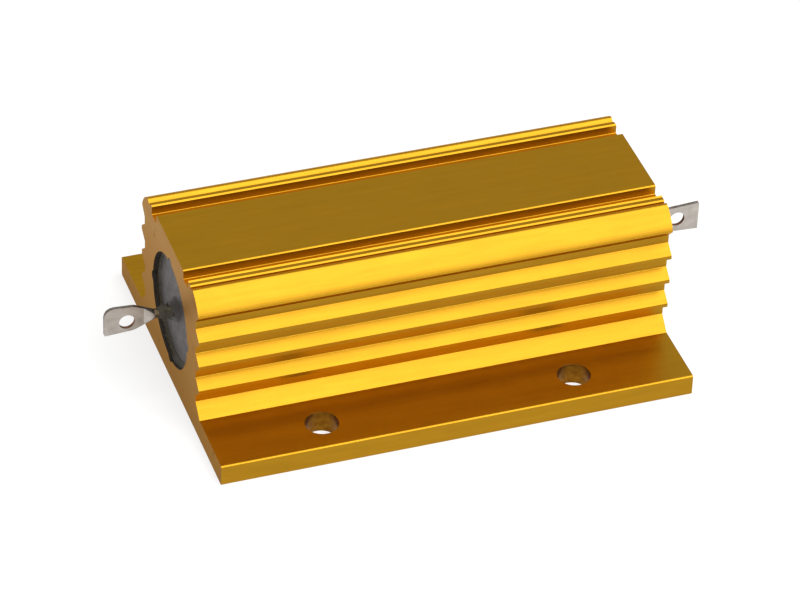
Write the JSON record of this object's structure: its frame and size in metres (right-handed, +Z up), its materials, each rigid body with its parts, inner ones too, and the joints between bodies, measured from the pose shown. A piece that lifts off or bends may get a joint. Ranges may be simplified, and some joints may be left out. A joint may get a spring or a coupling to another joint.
{
  "type": "aluminium housed wirewound power resistor",
  "caption": "Chassis-mount power resistor: a finned gold aluminium housing with a flat drilled base, and a flattened solder lug with an eye at each end.",
  "frame": {"origin": "centre of the underside of the mounting base", "axes": "+X along the housing from the left terminal to the right one, +Y across the base, +Z up from the mounting face"},
  "size_m": [0.0835, 0.0466, 0.0223],
  "materials": {
    "gold_anodised_aluminium": "gold anodised, extruded",
    "steatite_ceramic": "matt ceramic",
    "resistance_wire": "drawn wire",
    "potting_compound": "matt filled silicone",
    "cap_steel": "pressed sheet",
    "tinned_terminal": "tinned, dull",
    "grey_cement": "rough cement"
  },
  "bodies": {
    "root": {"housing": "gold_anodised_aluminium", "core_rod": "steatite_ceramic", "winding": "resistance_wire", "potting": "potting_compound", "end_cap_left": "cap_steel", "end_cap_right": "cap_steel", "terminal_left": "tinned_terminal", "terminal_right": "tinned_terminal", "end_seal_left": "grey_cement", "end_seal_right": "grey_cement"}
  },
  "joints": []
}
